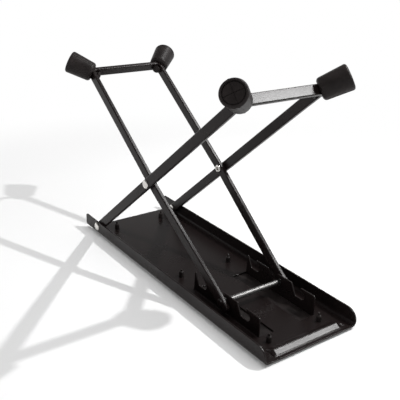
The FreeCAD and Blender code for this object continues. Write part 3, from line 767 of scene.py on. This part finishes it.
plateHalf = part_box("foot_plate")[1].y
earGrip = plateHalf - (earHalf - strip["thickness"] - rivet["play"])
crossGrip = rearCrossHalf - (frontHalf - strip["thickness"] - rivet["play"])
for kind, body, pivot, face, grip in (("ear", "plate", earPivot, plateHalf, earGrip),
                                      ("cross", "rear_frame", crossPivot, rearCrossHalf, crossGrip)):
    rivetPattern = makeRivet(f"{kind}Rivet", grip)
    for word, side in sides.items():
        bearing = Matrix.Translation((pivot.x, side * face, pivot.z))
        place = bearing @ turnAbout("X", -side * quarterTurn)
        rivetCopy = copyPiece(rivetPattern, f"{kind}Rivet{word.title()}", place)
        hand(rivetCopy, body, brightNickel, "rivet", f"{kind}_rivet_{word}")
    bpy.data.objects.remove(rivetPattern)
print("stage: rivets")


# Latch rod, peened over outside the lugs

# the heads narrow in steps of (share of the head's height, size)
rod = {"sides": 56, "radius": 2.5 * mm, "head": 3.7 * mm, "headSteps": ((0.5, 1), (0.3, 0.86), (0.2, 0.7))}


def makeRod():
    piece = addCylinder("latchRod", rod["sides"], rod["radius"], 2 * lugHalf, rodPivot, alongY)
    editPiece(piece)
    flare = rod["head"] / rod["radius"]
    for side in sides.values():
        selectFaces(piece, lambda face: side * face.normal.y > facing
                    and side * face.calc_center_median().y > 0)
        extrudeBy()
        resizeBy(flare, 1, flare)
        for share, size in rod["headSteps"]:
            extrudeBy(y=side * share * frontStrip["rodHead"])
            resizeBy(size, 1, size)
    leaveEdit()
    smoothOver(piece)
    hand(piece, "front_frame", drawnSteel, "bare_steel", "latch_rod")
    # the peened heads were coated with the frame
    piece.data.materials.append(powderCoat)
    for face in piece.data.polygons:
        if abs(face.center.y) > lugHalf:
            face.material_index = 1


makeRod()
for kind in ("ear", "cross"):
    for word in sides:
        washer = frame["nodes"][f"{kind}_washer_{word}"]
        washer.data.materials.clear()
        washer.data.materials.append(drawnSteel)
print("stage: rod and washers")


# Floor, light and camera

view = {"place": (446.52 * mm, -335.26 * mm, 307.62 * mm), "lens": 58.38, "azimuth": 53.69,
        "elevation": 22.64, "roll": 2.02}
light = {"aim": (0, 0, 0.06), "horizon": 1, "sky": 0.2, "horizonTop": 0.26, "skyBottom": 0.44}
# the first two light the colours and cast the shadows, the others only give highlights
lamps = {"keyLamp": {"place": (0.241, 0.408, 0.695), "size": 0.016, "power": 4.6, "glossy": False},
         "fillPanel": {"place": (0, 0, 2), "size": 2.4, "power": 26.5, "glossy": False},
         "softBox": {"place": (0.5, 0.745, 0.9), "size": 0.26, "power": 13.5, "glossy": True},
         "edgeBox": {"place": (0.03, 0.6, 1.05), "size": 0.3, "power": 8, "glossy": True}}
ground = {"size": 14, "dark": (0.86, 0.86, 0.86), "light": (0.88, 0.88, 0.88), "cloud": 3, "cloudDetail": 2,
          "rough": 0.9, "nearEdge": 0.32, "farEdge": 0.6, "nearWhite": 0.1}


def addMath(tree, operation, first, second):
    node = tree.nodes.new("ShaderNodeMath")
    node.operation = operation
    tree.links.new(first, node.inputs[0])
    tree.links.new(second, node.inputs[1])
    return node.outputs["Value"]


def makeFloor():
    # pale table near the object, blending into plain white further out
    finish, shader, place = newFinish("paleFloor")
    tree = finish.node_tree
    cloud = addNoise(finish, place, ground["cloud"], ground["cloudDetail"])
    tree.links.new(addRamp(finish, cloud, ground["dark"], ground["light"]), shader.inputs["Base Color"])
    shader.inputs["Roughness"].default_value = ground["rough"]
    shader.inputs["Specular IOR Level"].default_value = 0
    reach = tree.nodes.new("ShaderNodeVectorMath")
    reach.operation = "LENGTH"
    tree.links.new(place, reach.inputs[0])
    outside = addSpread(tree, reach.outputs["Value"], ground["nearEdge"], ground["farEdge"],
                        ground["nearWhite"], 1)
    outside.interpolation_type = "SMOOTHSTEP"
    path = tree.nodes.new("ShaderNodeLightPath")
    seen = path.outputs["Is Camera Ray"]
    for kind in ("Is Glossy Ray", "Is Transmission Ray"):
        seen = addMath(tree, "MAXIMUM", seen, path.outputs[kind])
    share = addMath(tree, "MULTIPLY", seen, outside.outputs["Result"])
    white = tree.nodes.new("ShaderNodeEmission")
    blend = tree.nodes.new("ShaderNodeMixShader")
    tree.links.new(share, blend.inputs["Fac"])
    tree.links.new(shader.outputs["BSDF"], blend.inputs[1])
    tree.links.new(white.outputs["Emission"], blend.inputs[2])
    tree.links.new(blend.outputs["Shader"], tree.nodes["Material Output"].inputs["Surface"])
    clearSelection()
    bpy.ops.mesh.primitive_plane_add(size=ground["size"], location=(0, 0, 0))
    floor = named("floor")
    floor.data.materials.append(finish)


def addLamp(name, setting):
    clearSelection()
    bpy.ops.object.light_add(type="AREA", location=setting["place"])
    lamp = bpy.context.object
    lamp.name = name
    lamp.data.shape = "DISK"
    lamp.data.size = setting["size"]
    lamp.data.energy = setting["power"]
    lamp.visible_glossy = setting["glossy"]
    lamp.visible_diffuse = not setting["glossy"]
    beam = Vector(light["aim"]) - Vector(setting["place"])
    lamp.rotation_euler = beam.to_track_quat("-Z", "Y").to_euler()


def lightRoom():
    for name, setting in lamps.items():
        addLamp(name, setting)
    # white walls around, a dimmer room above
    world = bpy.data.worlds.new("studio")
    bpy.context.scene.world = world
    world.use_nodes = True
    tree = world.node_tree
    direction = tree.nodes.new("ShaderNodeTexCoord")
    height = tree.nodes.new("ShaderNodeSeparateXYZ")
    tree.links.new(direction.outputs["Generated"], height.inputs["Vector"])
    spread = addSpread(tree, height.outputs["Z"], light["horizonTop"], light["skyBottom"],
                       light["horizon"], light["sky"])
    background = tree.nodes["Background"]
    background.inputs["Color"].default_value = (1, 1, 1, 1)
    tree.links.new(spread.outputs["Result"], background.inputs["Strength"])
    bpy.context.scene.view_settings.view_transform = "Standard"


def placeCamera():
    clearSelection()
    bpy.ops.object.camera_add()
    camera = bpy.context.object
    camera.name = "photoCamera"
    camera.data.lens = view["lens"]
    turn = (turnAbout("Z", math.radians(view["azimuth"]))
            @ turnAbout("X", quarterTurn - math.radians(view["elevation"]))
            @ turnAbout("Z", math.radians(view["roll"])))
    camera.matrix_world = Matrix.Translation(view["place"]) @ turn
    bpy.context.scene.camera = camera


makeFloor()
lightRoom()
placeCamera()
print("stage: floor, light and camera")
